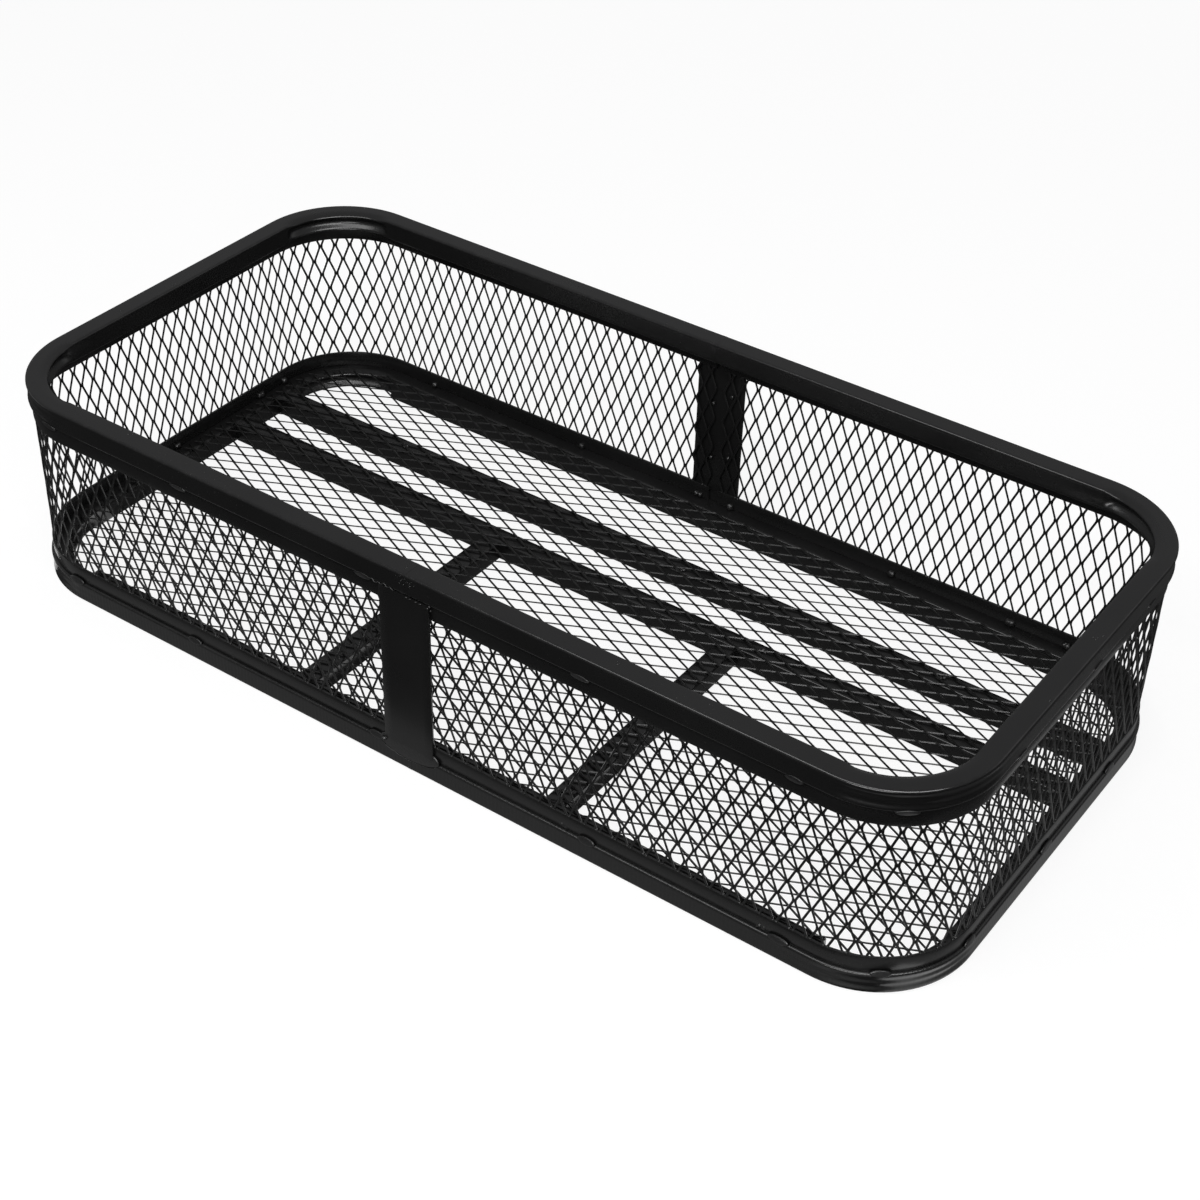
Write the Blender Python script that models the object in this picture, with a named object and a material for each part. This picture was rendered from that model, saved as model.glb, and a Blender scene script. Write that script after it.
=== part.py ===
"""Mesh cargo basket: a welded carrier basket of bent square tube, flat bar and expanded metal.

Units are metres, +Z is up, the long sides run along X, and the basket stands on Z = 0
with its centre at X = Y = 0. Two rounded rings of square tube, one above the other, are
each made of a left and a right U-shaped half that meet at the middle of the long sides.
A flat band hangs under the upper ring and another stands on the lower ring, both set back
from the outside of the tubes. An upright flat bar, flush with the tubes, joins the rings at
the middle of each long side and covers the ends of the bands. The walls are two U-shaped
sheets of expanded metal, held between the bands. The floor is one expanded metal sheet laid
on the lower ring, two lengthwise tubes, two short cross tubes and a strip along the inside
of each long rail.
"""
import math

import bmesh
import bpy
from mathutils import Vector

# Driving dimensions.
LENGTH = 1.219
WIDTH = 0.592
HEIGHT = 0.259
CORNER_RADIUS = 0.115          # outside of a bend, seen from above
TUBE = 0.0254                  # side of the square tube
BAR_THICKNESS = 0.003          # bands and uprights
GAP = 0.0003                   # clearance kept between neighbouring pieces

# Tube section.
TUBE_WALL = 0.0016
TUBE_EDGE_RADIUS = 0.003
EDGE_STEPS = 3

# Bends.
BEND_STEPS = 10

# Uprights: wide flat bar, flush with the outside of the tubes.
UPRIGHT_WIDTH = 0.065
BAR_EDGE = 0.0004              # broken edge of every flat bar

# Bands: narrow flat bar, far enough back to pass behind the uprights.
BAND_HEIGHT = 0.019
BAND_INSET = BAR_THICKNESS + GAP
BAND_END = 0.006               # from the middle of a long side to the end of a band

# Expanded metal sheets, drawn here as thin plates.
SHEET_DEPTH = 0.0025
WALL_SHEET_END = 0.005         # from the middle of a long side to the cut edge of a wall sheet
FLOOR_END_INSET = 0.015        # from the outside of the lower ring to the floor's cut edge
FLOOR_SIDE_INSET = 0.026       # the same along the long sides, where the edge lies on a strip

# Floor frame.
REAR_TUBE_Y = 0.157
FRONT_TUBE_Y = 0.0755
CROSS_TUBE_X = 0.169           # either side of the middle
STRIP_THICKNESS = 0.006

# Derived places.
INNER_INSET = TUBE + GAP
UPPER_TUBE_Z = HEIGHT - TUBE
BOTTOM_BAND_Z = TUBE + GAP
TOP_BAND_Z = UPPER_TUBE_Z - GAP - BAND_HEIGHT
STRAIGHT_X = LENGTH / 2 - CORNER_RADIUS
STRAIGHT_Y = WIDTH / 2 - CORNER_RADIUS


def clear_scene():
    """Remove everything that the new file starts with."""
    for item in list(bpy.data.objects):
        bpy.data.objects.remove(item, do_unlink=True)


def powder_coat(name, grey, roughness):
    """Black satin powder coat."""
    material = bpy.data.materials.new(name)
    material.use_nodes = True
    shader = material.node_tree.nodes["Principled BSDF"]
    shader.inputs["Base Color"].default_value = (grey, grey, grey, 1.0)
    shader.inputs["Roughness"].default_value = roughness
    shader.inputs["Metallic"].default_value = 0.0
    return material


def add_object(name, mesh_data, material, smooth_angle=None):
    """Link a mesh as a named object, with round parts shaded smooth up to an angle."""
    item = bpy.data.objects.new(name, mesh_data)
    bpy.context.scene.collection.objects.link(item)
    mesh_data.materials.append(material)
    if smooth_angle is not None:
        mesh_data.shade_smooth()
        mesh_data.set_sharp_from_angle(angle=smooth_angle)
    return item


def rounded_loop(low, high, base, top, radius, steps):
    """Section outline as (inset, z) points: a rectangle with rounded corners."""
    corners = (
        (high - radius, base + radius, -90.0),
        (high - radius, top - radius, 0.0),
        (low + radius, top - radius, 90.0),
        (low + radius, base + radius, 180.0),
    )
    points = []
    for centre_inset, centre_z, start in corners:
        for step in range(steps + 1):
            angle = math.radians(start + 90.0 * step / steps)
            points.append((
                centre_inset + radius * math.cos(angle),
                centre_z + radius * math.sin(angle),
            ))
    return points


def tube_loops(base):
    """Outer and inner outline of the square tube whose underside is at height base."""
    outer = rounded_loop(0.0, TUBE, base, base + TUBE, TUBE_EDGE_RADIUS, EDGE_STEPS)
    inner = rounded_loop(
        TUBE_WALL,
        TUBE - TUBE_WALL,
        base + TUBE_WALL,
        base + TUBE - TUBE_WALL,
        TUBE_EDGE_RADIUS - TUBE_WALL,
        EDGE_STEPS,
    )
    return outer, inner


def half_ring(side, end_x):
    """Stations along one U-shaped half of the outline, as (point, inward direction).

    side is +1 for the right half and -1 for the left half. end_x is the distance from the
    middle of a long side to the cut end.
    """
    arcs = [(end_x, -STRAIGHT_Y, -90.0)]
    for step in range(BEND_STEPS + 1):
        arcs.append((STRAIGHT_X, -STRAIGHT_Y, -90.0 + 90.0 * step / BEND_STEPS))
    for step in range(BEND_STEPS + 1):
        arcs.append((STRAIGHT_X, STRAIGHT_Y, 90.0 * step / BEND_STEPS))
    arcs.append((end_x, STRAIGHT_Y, 90.0))
    stations = []
    for centre_x, centre_y, degrees in arcs:
        angle = math.radians(degrees)
        outward = Vector((side * math.cos(angle), math.sin(angle), 0.0))
        centre = Vector((side * centre_x, centre_y, 0.0))
        stations.append((centre + outward * CORNER_RADIUS, -outward))
    return stations


def sweep(name, stations, outer, inner=None):
    """Closed solid that carries a section along stations; inner makes it a hollow tube."""
    shape = bmesh.new()

    def rings_of(loop):
        rings = []
        for point, inward in stations:
            ring = []
            for inset, height in loop:
                ring.append(shape.verts.new(point + inward * inset + Vector((0.0, 0.0, height))))
            rings.append(ring)
        return rings

    def skin(rings):
        for first, second in zip(rings[:-1], rings[1:]):
            for here in range(len(first)):
                after = (here + 1) % len(first)
                shape.faces.new((first[here], first[after], second[after], second[here]))

    outside = rings_of(outer)
    skin(outside)
    if inner is None:
        shape.faces.new(outside[0])
        shape.faces.new(outside[-1])
    else:
        inside = rings_of(inner)
        skin(inside)
        for end in (0, -1):
            for here in range(len(outer)):
                after = (here + 1) % len(outer)
                shape.faces.new((
                    outside[end][here],
                    outside[end][after],
                    inside[end][after],
                    inside[end][here],
                ))
    bmesh.ops.recalc_face_normals(shape, faces=shape.faces)
    mesh_data = bpy.data.meshes.new(name)
    shape.to_mesh(mesh_data)
    shape.free()
    return mesh_data


def ring_rails(material):
    """Upper and lower rings, each as a left and a right half of bent square tube."""
    for level, base in (("top", UPPER_TUBE_Z), ("bottom", 0.0)):
        for label, side in (("left", -1), ("right", 1)):
            name = f"{level}_rail_{label}"
            outer, inner = tube_loops(base)
            mesh_data = sweep(name, half_ring(side, GAP / 2), outer, inner)
            add_object(name, mesh_data, material, math.radians(40))


def bands(material):
    """Flat bands under the upper ring and on the lower ring, with their ends at the uprights."""
    back = BAND_INSET + BAR_THICKNESS
    for level, base in (("top", TOP_BAND_Z), ("bottom", BOTTOM_BAND_Z)):
        loop = rounded_loop(BAND_INSET, back, base, base + BAND_HEIGHT, BAR_EDGE, 1)
        for label, side in (("left", -1), ("right", 1)):
            name = f"{level}_band_{label}"
            add_object(name, sweep(name, half_ring(side, BAND_END), loop), material)


def uprights(material):
    """Upright flat bars at the middle of the long sides, between the rings."""
    base = TUBE + GAP
    top = UPPER_TUBE_Z - GAP
    centre_y = WIDTH / 2 - BAR_THICKNESS / 2
    for label, facing in (("front", -1), ("back", 1)):
        name = f"upright_{label}"
        shape = bmesh.new()
        bmesh.ops.create_cube(shape, size=1.0)
        bmesh.ops.scale(
            shape,
            vec=(UPRIGHT_WIDTH, BAR_THICKNESS, top - base),
            verts=shape.verts,
        )
        mesh_data = bpy.data.meshes.new(name)
        shape.to_mesh(mesh_data)
        shape.free()
        item = add_object(name, mesh_data, material)
        item.location = (0.0, facing * centre_y, (base + top) / 2)
        bevel = item.modifiers.new("soft_edges", "BEVEL")
        bevel.width = BAR_EDGE
        bevel.segments = 1
        bevel.limit_method = "ANGLE"


def wall_sheets(material):
    """Expanded metal walls: a left and a right sheet bent round the ends, between the bands."""
    base = BOTTOM_BAND_Z + BAND_HEIGHT + GAP
    top = TOP_BAND_Z - GAP
    outside = BAND_INSET + (BAR_THICKNESS - SHEET_DEPTH) / 2
    inside = outside + SHEET_DEPTH
    loop = [(outside, base), (inside, base), (inside, top), (outside, top)]
    for label, side in (("left", -1), ("right", 1)):
        name = f"wall_mesh_{label}"
        mesh_data = sweep(name, half_ring(side, WALL_SHEET_END), loop)
        add_object(name, mesh_data, material)


def floor_sheet(material):
    """Expanded metal floor with rounded corners, laid on the lower ring and floor tubes."""
    reach_x = CORNER_RADIUS - FLOOR_END_INSET
    reach_y = CORNER_RADIUS - FLOOR_SIDE_INSET
    shape = bmesh.new()
    outline = []
    quarters = ((1, 1, 0.0), (-1, 1, 90.0), (-1, -1, 180.0), (1, -1, 270.0))
    for side_x, side_y, start in quarters:
        for step in range(BEND_STEPS + 1):
            angle = math.radians(start + 90.0 * step / BEND_STEPS)
            outline.append(shape.verts.new((
                side_x * STRAIGHT_X + reach_x * math.cos(angle),
                side_y * STRAIGHT_Y + reach_y * math.sin(angle),
                TUBE + GAP,
            )))
    face = shape.faces.new(outline)
    raised = bmesh.ops.extrude_face_region(shape, geom=[face])
    upper = [item for item in raised["geom"] if isinstance(item, bmesh.types.BMVert)]
    bmesh.ops.translate(shape, vec=(0.0, 0.0, SHEET_DEPTH), verts=upper)
    bmesh.ops.recalc_face_normals(shape, faces=shape.faces)
    mesh_data = bpy.data.meshes.new("floor_mesh")
    shape.to_mesh(mesh_data)
    shape.free()
    add_object("floor_mesh", mesh_data, material)


def floor_tubes(material):
    """Lengthwise tubes between the ends of the lower ring, and the short cross tubes."""
    outer, inner = tube_loops(0.0)
    across = Vector((0.0, 1.0, 0.0))
    along = Vector((1.0, 0.0, 0.0))
    end_x = LENGTH / 2 - INNER_INSET
    for label, centre_y in (("rear", REAR_TUBE_Y), ("front", FRONT_TUBE_Y)):
        name = f"floor_tube_{label}"
        side_y = centre_y - TUBE / 2
        stations = [
            (Vector((-end_x, side_y, 0.0)), across),
            (Vector((end_x, side_y, 0.0)), across),
        ]
        add_object(name, sweep(name, stations, outer, inner), material, math.radians(40))
    back_y = FRONT_TUBE_Y - TUBE / 2 - GAP
    front_y = -WIDTH / 2 + INNER_INSET + STRIP_THICKNESS + GAP
    for label, side in (("left", -1), ("right", 1)):
        name = f"cross_tube_{label}"
        side_x = side * CROSS_TUBE_X - TUBE / 2
        stations = [
            (Vector((side_x, front_y, 0.0)), along),
            (Vector((side_x, back_y, 0.0)), along),
        ]
        add_object(name, sweep(name, stations, outer, inner), material, math.radians(40))


def floor_strips(material):
    """Flat strips on edge along the inside of the long lower rails, between the bends."""
    loop = rounded_loop(0.0, STRIP_THICKNESS, 0.0, TUBE, BAR_EDGE, 1)
    for label, facing in (("front", -1), ("back", 1)):
        name = f"floor_strip_{label}"
        inward = Vector((0.0, -facing, 0.0))
        outer_y = facing * (WIDTH / 2 - INNER_INSET)
        stations = [
            (Vector((-STRAIGHT_X, outer_y, 0.0)), inward),
            (Vector((STRAIGHT_X, outer_y, 0.0)), inward),
        ]
        add_object(name, sweep(name, stations, loop), material)


def main():
    clear_scene()
    tube_coat = powder_coat("tube_powder_coat", 0.020, 0.42)
    bar_coat = powder_coat("bar_powder_coat", 0.018, 0.45)
    mesh_coat = powder_coat("mesh_powder_coat", 0.016, 0.50)
    ring_rails(tube_coat)
    bands(bar_coat)
    uprights(bar_coat)
    wall_sheets(mesh_coat)
    floor_sheet(mesh_coat)
    floor_tubes(tube_coat)
    floor_strips(bar_coat)


main()
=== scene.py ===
"""Mesh cargo basket: the finished surfaces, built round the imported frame.

Units are metres, +Z is up, and the long sides run along X. Rails, bands, bars and tubes are
lofted from their sections, the walls and the floor are real expanded metal, and every weld
is a bead of its own. Sizes come from the frame's boxes.
"""
import math
import random

import bpy
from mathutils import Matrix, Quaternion, Vector, noise


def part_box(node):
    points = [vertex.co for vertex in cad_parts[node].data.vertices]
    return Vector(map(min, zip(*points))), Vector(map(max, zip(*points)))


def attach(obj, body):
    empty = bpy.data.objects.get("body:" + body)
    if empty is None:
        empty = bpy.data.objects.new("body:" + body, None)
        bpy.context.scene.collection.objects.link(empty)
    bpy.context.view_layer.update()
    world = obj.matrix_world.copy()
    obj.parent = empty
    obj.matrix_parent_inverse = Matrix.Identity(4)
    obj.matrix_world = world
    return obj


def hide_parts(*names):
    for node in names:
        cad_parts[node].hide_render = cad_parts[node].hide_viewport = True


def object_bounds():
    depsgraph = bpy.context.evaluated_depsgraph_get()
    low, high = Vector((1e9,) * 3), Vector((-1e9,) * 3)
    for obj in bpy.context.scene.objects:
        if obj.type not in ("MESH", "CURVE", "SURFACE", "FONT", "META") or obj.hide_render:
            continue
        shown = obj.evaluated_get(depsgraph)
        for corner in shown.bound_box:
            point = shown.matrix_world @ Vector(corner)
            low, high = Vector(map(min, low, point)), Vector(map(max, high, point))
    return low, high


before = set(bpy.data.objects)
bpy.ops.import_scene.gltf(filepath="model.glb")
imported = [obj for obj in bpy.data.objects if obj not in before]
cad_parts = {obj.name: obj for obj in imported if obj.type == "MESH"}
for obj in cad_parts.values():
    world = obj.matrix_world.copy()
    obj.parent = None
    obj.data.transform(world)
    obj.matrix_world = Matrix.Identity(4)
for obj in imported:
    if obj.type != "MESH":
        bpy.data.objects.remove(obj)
cad_low, cad_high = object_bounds()

# Places and sizes read from the frame.
rail_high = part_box("bottom_rail_left")[1]
band_low, band_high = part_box("bottom_band_left")
top_band_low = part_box("top_band_left")[0]
strip_low, strip_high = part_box("floor_strip_back")
upright_low, upright_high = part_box("upright_back")
floor_low, floor_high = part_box("floor_mesh")
wall_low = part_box("wall_mesh_right")[0]

HALF_LENGTH = cad_high.x
HALF_WIDTH = cad_high.y
HEIGHT = cad_high.z
TUBE = rail_high.z
TOP_RAIL_Z = HEIGHT - TUBE
STRAIGHT_X = strip_high.x
BEND_RADIUS = HALF_LENGTH - STRAIGHT_X
STRAIGHT_Y = HALF_WIDTH - BEND_RADIUS
BAND_INSET = band_low.x + HALF_LENGTH
BAR_THICKNESS = upright_high.y - upright_low.y
BAND_END = -band_high.x
RAIL_END = -rail_high.x
STRIP_THICKNESS = strip_high.y - strip_low.y

# Tube and bar sections.
TUBE_EDGE = 0.003              # radius of a tube's long edges
BAR_EDGE = 0.0005
EDGE_STEPS = 4
FACE_STEPS = 12                # pieces that each face of a tube is divided into
STRAIGHT_STEP = 0.045          # length of one piece of a straight run
BEND_STEPS = 26

# How a bend deforms the square tube.
INNER_DENT = 0.0058            # depth of the hollow along the inside
OUTER_DENT = 0.0016            # depth of the hollow along the outside
INNER_PART = 0.55              # part of the tube's width that the inner hollow takes up
OUTER_PART = 0.25
OUTER_CREASE = 0.00060         # height of the ripples along the outside of a bend
INNER_PINCH = 0.0026           # how far the top and bottom sink along the inside of a bend
CREASES = 2.5                  # ripples over the height of the tube
DENT_RAMP = 0.022              # length over which the dent fades in
RIB_PITCH = 0.005              # faint ribs across the lower ring's outer face

# Expanded metal. A strand's width lies at its tilt to the plane of the sheet.
SHORT_PITCH = 0.0189           # one diamond, the short way
# Strand sections, in half widths and half thicknesses.
HEXAGON = ((-1.0, 0.0), (-0.6, -1.0), (0.6, -1.0), (1.0, 0.0), (0.6, 1.0), (-0.6, 1.0))
RECTANGLE = ((-1.0, -1.0), (1.0, -1.0), (1.0, 1.0), (-1.0, 1.0))
SHORTEST_STRAND = 0.0003       # nearest that a corner comes to the cut end of a strand
WALL_SHEET = {
    "long_pitch": 0.0411,      # one diamond, the long way
    "width": 0.0029,
    "thickness": 0.00155,
    "section": HEXAGON,
    "tilt": math.radians(5.0),
    "bond": 0.0040,            # length of the joint between two diamonds
}
FLOOR_SHEET = {
    "long_pitch": 0.0403,
    "width": 0.0025,
    "thickness": 0.0015,
    "section": RECTANGLE,
    "tilt": math.radians(-30.0),
    "bond": 0.0020,
}
WALL_MESH_INSET = 0.0053
WALL_BOND_Z = 0.0616           # height of one row of bonds
RIPPLE = 0.0004                # how far the sheets wander from flat
RIPPLES_PER_METRE = 14.0
RIPPLE_PLANE = Vector((0.0, 0.0, 0.37))   # the slice of the noise that the ripples follow

# Welds.
SEAM_WELD_LENGTH = 0.021
SEAM_WELD_HEIGHT = 0.0076
SEAM_SHIFT = 0.0006            # from the seam towards the band
SKIN = 0.0002                  # how far a weld's rim stands proud of the face it lies on
PAD_ROOT = 0.0016              # depth that a dressed weld is sunk to
WELD_PROUD = 0.0007            # how far a dressed weld stands proud
WELD_LUMPS = 0.00022           # unevenness of its face
BUTT_HALF_WIDTH = 0.0028
BUTT_PROUD = 0.00012
FOOT_PAD = (0.080, 0.027)      # length and height of the dressed weld at an upright's foot
HEAD_BEAD = (-0.050, -0.010)   # ends of the bead beside an upright's head, along the rail

random.seed(48)


# --- geometry -------------------------------------------------------------------------


def smooth(value):
    """Smooth step from 0 to 1."""
    value = min(max(value, 0.0), 1.0)
    return value * value * (3.0 - 2.0 * value)


def half_length(inset):
    """Length of one U-shaped half of the outline at that inset."""
    return 2.0 * STRAIGHT_X + math.pi * (BEND_RADIUS - inset) + 2.0 * STRAIGHT_Y


def outline(side, distance, inset):
    """Point and outward direction on one half of the outline, counterclockwise from above.

    side +1 is the right half, from the front middle to the back middle, and -1 the left
    half, from the back middle to the front middle.
    """
    radius = BEND_RADIUS - inset
    bend = math.pi / 2.0 * radius
    if distance < STRAIGHT_X:
        centre, angle = (distance, -STRAIGHT_Y), -math.pi / 2.0
    elif distance < STRAIGHT_X + bend:
        centre = (STRAIGHT_X, -STRAIGHT_Y)
        angle = (distance - STRAIGHT_X) / radius - math.pi / 2.0
    elif distance < STRAIGHT_X + bend + 2.0 * STRAIGHT_Y:
        centre, angle = (STRAIGHT_X, distance - STRAIGHT_X - bend - STRAIGHT_Y), 0.0
    elif distance < STRAIGHT_X + 2.0 * bend + 2.0 * STRAIGHT_Y:
        centre = (STRAIGHT_X, STRAIGHT_Y)
        angle = (distance - STRAIGHT_X - bend - 2.0 * STRAIGHT_Y) / radius
    else:
        centre = (half_length(inset) - distance, STRAIGHT_Y)
        angle = math.pi / 2.0
    outward = Vector((side * math.cos(angle), side * math.sin(angle), 0.0))
    point = Vector((side * centre[0], side * centre[1], 0.0)) + outward * radius
    return point, outward


def half_stations(end):
    """Distances along the outline's outer edge for one half, with close steps in the bends."""
    bend = math.pi / 2.0 * BEND_RADIUS
    total = half_length(0.0)
    marks = [end, STRAIGHT_X]
    marks += [STRAIGHT_X + bend, STRAIGHT_X + bend + 2.0 * STRAIGHT_Y]
    marks += [STRAIGHT_X + 2.0 * bend + 2.0 * STRAIGHT_Y, total - end]
    distances = [end]
    for index, (first, second) in enumerate(zip(marks[:-1], marks[1:])):
        is_bend = index in (1, 3)
        steps = BEND_STEPS if is_bend else math.ceil((second - first) / STRAIGHT_STEP)
        for step in range(1, steps + 1):
            distances.append(first + (second - first) * step / steps)
    return distances


def bend_amount(distance):
    """How deformed the tube is there: 0 on a straight run and 1 in the middle of a bend."""
    bend = math.pi / 2.0 * BEND_RADIUS
    amount = 0.0
    for start in (STRAIGHT_X, STRAIGHT_X + bend + 2.0 * STRAIGHT_Y):
        into = min(distance - start, start + bend - distance)
        amount = max(amount, smooth((into + DENT_RAMP * 0.2) / DENT_RAMP))
    return amount


def rounded_section(width, height, radius, steps, face_steps=1):
    """Rectangle with rounded corners as (across, up, edge) from its lower left corner.

    edge is 1 on the corners and 0 on the faces.
    """
    corners = (
        (width - radius, radius, -90.0),
        (width - radius, height - radius, 0.0),
        (radius, height - radius, 90.0),
        (radius, radius, 180.0),
    )
    arcs = []
    for centre_across, centre_up, start in corners:
        arc = []
        for step in range(steps + 1):
            angle = math.radians(start + 90.0 * step / steps)
            edge = 1.0 if 0 < step < steps else 0.55
            across = centre_across + radius * math.cos(angle)
            arc.append((across, centre_up + radius * math.sin(angle), edge))
        arcs.append(arc)
    section = []
    for index, arc in enumerate(arcs):
        section.extend(arc)
        start, end = arc[-1], arcs[(index + 1) % 4][0]
        for step in range(1, face_steps):
            part = step / face_steps
            across = start[0] + (end[0] - start[0]) * part
            section.append((across, start[1] + (end[1] - start[1]) * part, 0.0))
    return section


def loft(name, rings, edges, along, smooth_angle=40.0):
    """Closed body through rings of points. edges and along become point attributes."""
    count = len(rings[0])
    points = [point for ring in rings for point in ring]
    faces = []
    for ring in range(len(rings) - 1):
        for here in range(count):
            after = (here + 1) % count
            first, second = ring * count, (ring + 1) * count
            faces.append((first + here, first + after, second + after, second + here))
    last = (len(rings) - 1) * count
    faces.append(tuple(reversed(range(count))))
    faces.append(tuple(range(last, last + count)))
    item = new_piece(name, points, faces)
    add_attribute(item, "edge", [value for _ in rings for value in edges])
    add_attribute(item, "along", [value for value in along for _ in range(count)])
    item.data.shade_smooth()
    item.data.set_sharp_from_angle(angle=math.radians(smooth_angle))
    return item


def new_piece(name, points, faces):
    """Linked mesh object with its faces pointing out."""
    data = bpy.data.meshes.new(name)
    data.from_pydata([tuple(point) for point in points], [], faces)
    data.validate()
    data.update()
    item = bpy.data.objects.new(name, data)
    bpy.context.scene.collection.objects.link(item)
    if signed_volume(data) < 0.0:
        data.flip_normals()
    return item


def signed_volume(data):
    """Volume of a closed mesh, negative if its faces point in."""
    total = 0.0
    for face in data.polygons:
        corners = [data.vertices[index].co for index in face.vertices]
        for second, third in zip(corners[1:-1], corners[2:]):
            total += corners[0].dot(second.cross(third))
    return total / 6.0


def add_attribute(item, name, values):
    """Float attribute on the points of a mesh."""
    attribute = item.data.attributes.new(name, "FLOAT", "POINT")
    attribute.data.foreach_set("value", values)


def finish_piece(item, material, slot_name, *nodes):
    """Give a piece its material, seat it on the body and hide the nodes it stands for."""
    item.data.materials.append(material)
    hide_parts(*nodes)
    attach(item, "root")


# --- materials ------------------------------------------------------------------------


class Shader:
    """Small helper that adds and links nodes of one material."""

    def __init__(self, name):
        self.material = bpy.data.materials.new(name)
        self.material.use_nodes = True
        self.tree = self.material.node_tree
        self.surface = self.tree.nodes["Principled BSDF"]

    def node(self, kind, **settings):
        made = self.tree.nodes.new(kind)
        for key, value in settings.items():
            setattr(made, key, value)
        return made

    def link(self, output, target):
        self.tree.links.new(output, target)

    def place(self):
        return self.node("ShaderNodeTexCoord").outputs["Object"]

    def attribute(self, name):
        return self.node("ShaderNodeAttribute", attribute_name=name).outputs["Fac"]

    def noise(self, scale, detail=3.0, roughness=0.5, vector=None):
        made = self.node("ShaderNodeTexNoise")
        made.inputs["Scale"].default_value = scale
        made.inputs["Detail"].default_value = detail
        made.inputs["Roughness"].default_value = roughness
        self.link(vector or self.place(), made.inputs["Vector"])
        return made.outputs["Fac"]

    def ramp(self, value, low, high, from_low=0.0, from_high=1.0):
        made = self.node("ShaderNodeMapRange")
        self.link(value, made.inputs["Value"])
        made.inputs["From Min"].default_value = from_low
        made.inputs["From Max"].default_value = from_high
        made.inputs["To Min"].default_value = low
        made.inputs["To Max"].default_value = high
        return made.outputs["Result"]

    def math(self, operation, first, second):
        made = self.node("ShaderNodeMath", operation=operation)
        for socket, value in zip(made.inputs, (first, second)):
            if isinstance(value, (int, float)):
                socket.default_value = value
            else:
                self.link(value, socket)
        return made.outputs["Value"]

    def mix(self, amount, first, second):
        made = self.node("ShaderNodeMix", data_type="RGBA")
        self.link(amount, made.inputs["Factor"])
        for key, value in (("A", first), ("B", second)):
            socket = [s for s in made.inputs if s.name == key and s.type == "RGBA"][0]
            if isinstance(value, tuple):
                socket.default_value = value
            else:
                self.link(value, socket)
        return [s for s in made.outputs if s.type == "RGBA"][0]

    def bump(self, height, distance, strength=1.0, normal=None):
        made = self.node("ShaderNodeBump")
        made.inputs["Strength"].default_value = strength
        made.inputs["Distance"].default_value = distance
        self.link(height, made.inputs["Height"])
        if normal is not None:
            self.link(normal, made.inputs["Normal"])
        return made.outputs["Normal"]


def grey(value, warmth=0.0):
    """Neutral colour, a little warm or cool."""
    return (value * (1.0 + warmth), value, value * (1.0 - warmth), 1.0)


def powder_coat(name, base, gloss_low, gloss_high, hatch=0.0):
    """Black satin powder coat: orange peel, cloudy gloss, a painted highlight along the edges and a
    few dust specks.
    """
    shader = Shader(name)
    cloud = shader.noise(9.0, 4.0)
    fine = shader.noise(260.0, 2.0)
    peel = shader.noise(900.0, 2.0, 0.6)
    specks = shader.ramp(shader.noise(620.0, 1.0), 0.0, 1.0, 0.76, 0.80)
    patches = shader.ramp(shader.noise(5.0, 2.0), 0.0, 1.0, 0.50, 0.68)
    dust = shader.math("MULTIPLY", specks, patches)
    edge = shader.attribute("edge")
    # Painted highlight: a noisy mask on the edges that lightens the base colour where light catches
    # them.
    edge_highlight_noise = shader.ramp(shader.noise(70.0, 4.0, 0.65), 0.0, 1.0, 0.42, 0.72)
    edge_highlight = shader.math("MULTIPLY", edge, edge_highlight_noise)

    tone = shader.mix(shader.ramp(cloud, 0.0, 1.0, 0.3, 0.7), grey(base * 0.85), grey(base * 1.2))
    # Painted highlight: lighter base colour along the edges.
    tone = shader.mix(shader.math("MULTIPLY", edge_highlight, 0.5), tone, grey(base * 2.6, 0.02))
    tone = shader.mix(shader.math("MULTIPLY", dust, 0.55), tone, grey(0.16, 0.03))
    shader.link(tone, shader.surface.inputs["Base Color"])

    rough = shader.ramp(cloud, gloss_low, gloss_high, 0.25, 0.75)
    rough = shader.math("ADD", rough, shader.ramp(fine, -0.03, 0.03))
    rough = shader.math("SUBTRACT", rough, shader.math("MULTIPLY", edge, 0.06))
    shader.link(rough, shader.surface.inputs["Roughness"])

    normal = shader.bump(peel, 0.00006, 0.7)
    normal = shader.bump(fine, 0.00012, 0.6, normal)
    normal = shader.bump(dust, 0.0002, 0.5, normal)
    if hatch:
        along = shader.attribute("along")
        combine = shader.node("ShaderNodeCombineXYZ")
        shader.link(along, combine.inputs["X"])
        height = shader.node("ShaderNodeSeparateXYZ")
        shader.link(shader.place(), height.inputs["Vector"])
        shader.link(shader.math("MULTIPLY", height.outputs["Z"], 0.12), combine.inputs["Y"])
        scratches = shader.noise(520.0, 1.5, 0.6, combine.outputs["Vector"])
        normal = shader.bump(scratches, 0.00018, hatch, normal)
        ribs = shader.math("SINE", shader.math("MULTIPLY", along, 2.0 * math.pi / RIB_PITCH), 0.0)
        normal = shader.bump(ribs, 0.00005, hatch, normal)
    shader.link(normal, shader.surface.inputs["Normal"])
    shader.surface.inputs["Metallic"].default_value = 0.0
    shader.surface.inputs["Specular IOR Level"].default_value = 0.42
    shader.surface.inputs["Coat Weight"].default_value = 0.12
    shader.surface.inputs["Coat Roughness"].default_value = 0.18
    return shader.material


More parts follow.
